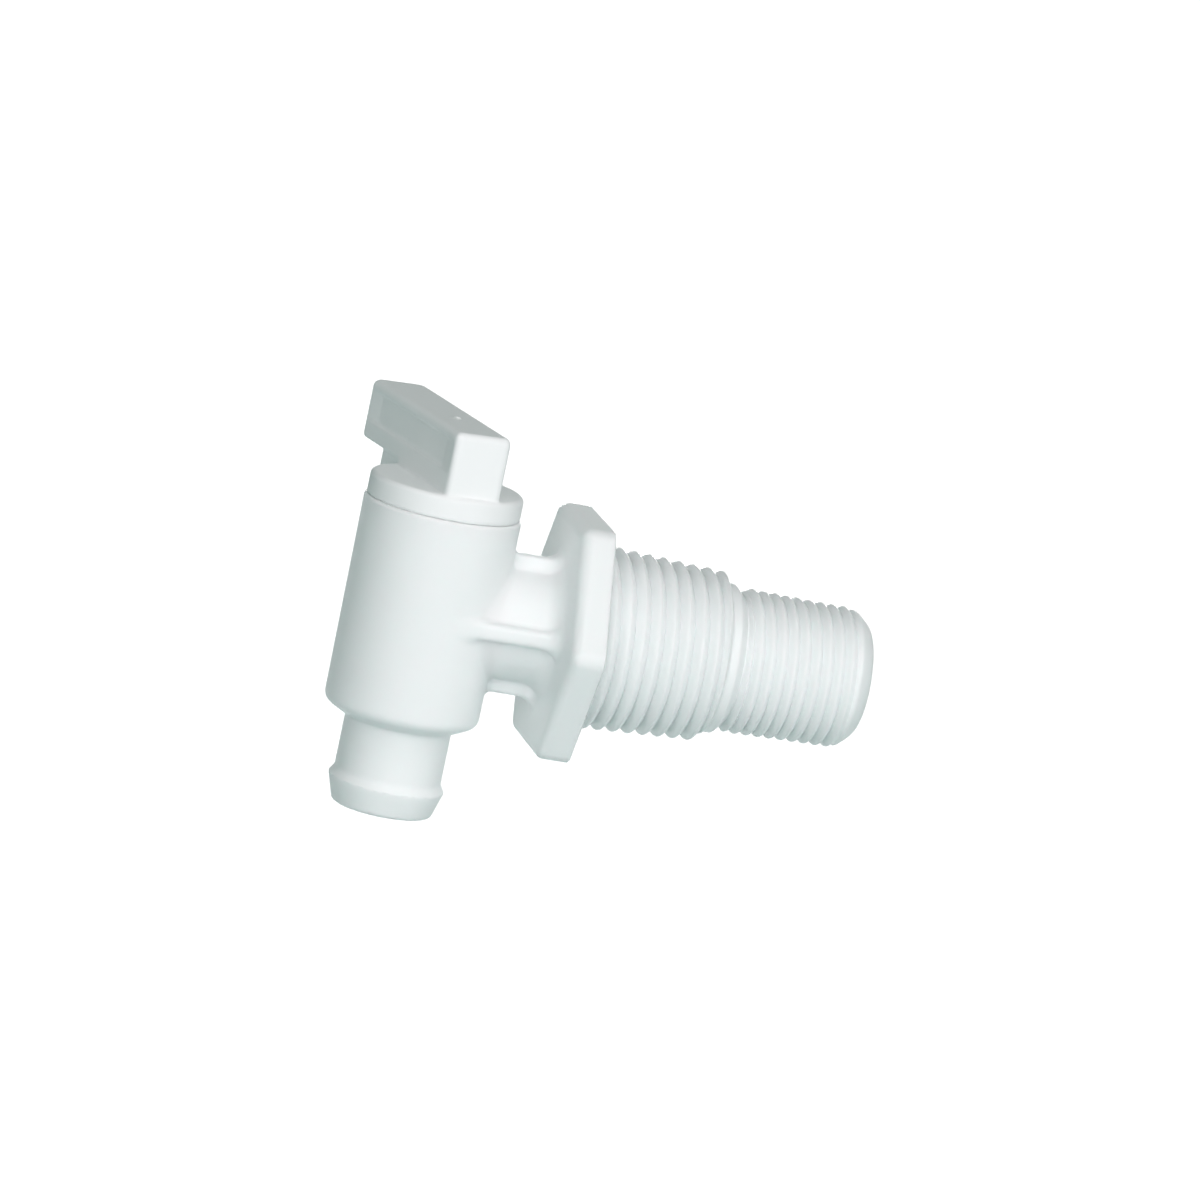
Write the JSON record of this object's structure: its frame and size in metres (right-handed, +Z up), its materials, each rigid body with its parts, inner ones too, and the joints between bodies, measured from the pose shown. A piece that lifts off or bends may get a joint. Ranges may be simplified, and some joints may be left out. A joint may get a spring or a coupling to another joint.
{
  "type": "tank drain valve",
  "caption": "White plastic quarter-turn drain valve with a lever on its plug, a barbed hose tail, a hexagon and a stepped pipe-threaded inlet.",
  "frame": {"origin": "centre of the hexagon's tank-side face, on the inlet's axis", "axes": "+X along the inlet and out of its threaded end, +Z up the plug's axis, the hose tail pointing to -Z"},
  "size_m": [0.0627, 0.0371, 0.047],
  "materials": {
    "white_plastic": "satin moulded white polypropylene",
    "lever_plastic": "satin moulded white polypropylene",
    "seal_rubber": "smooth black rubber",
    "seat_rubber": "smooth dark grey rubber"
  },
  "bodies": {
    "body": {"valve_body": "white_plastic", "seat_seal": "seat_rubber"},
    "plug": {"plug_lever": "lever_plastic", "upper_ring": "seal_rubber", "lower_ring": "seal_rubber"}
  },
  "joints": [
    {"name": "plug_turn", "type": "hinge", "parent": "body", "child": "plug", "pos_m": [-0.0192, 0, 0], "axis": [0, 0, 1], "range_deg": [-11, 79]}
  ]
}
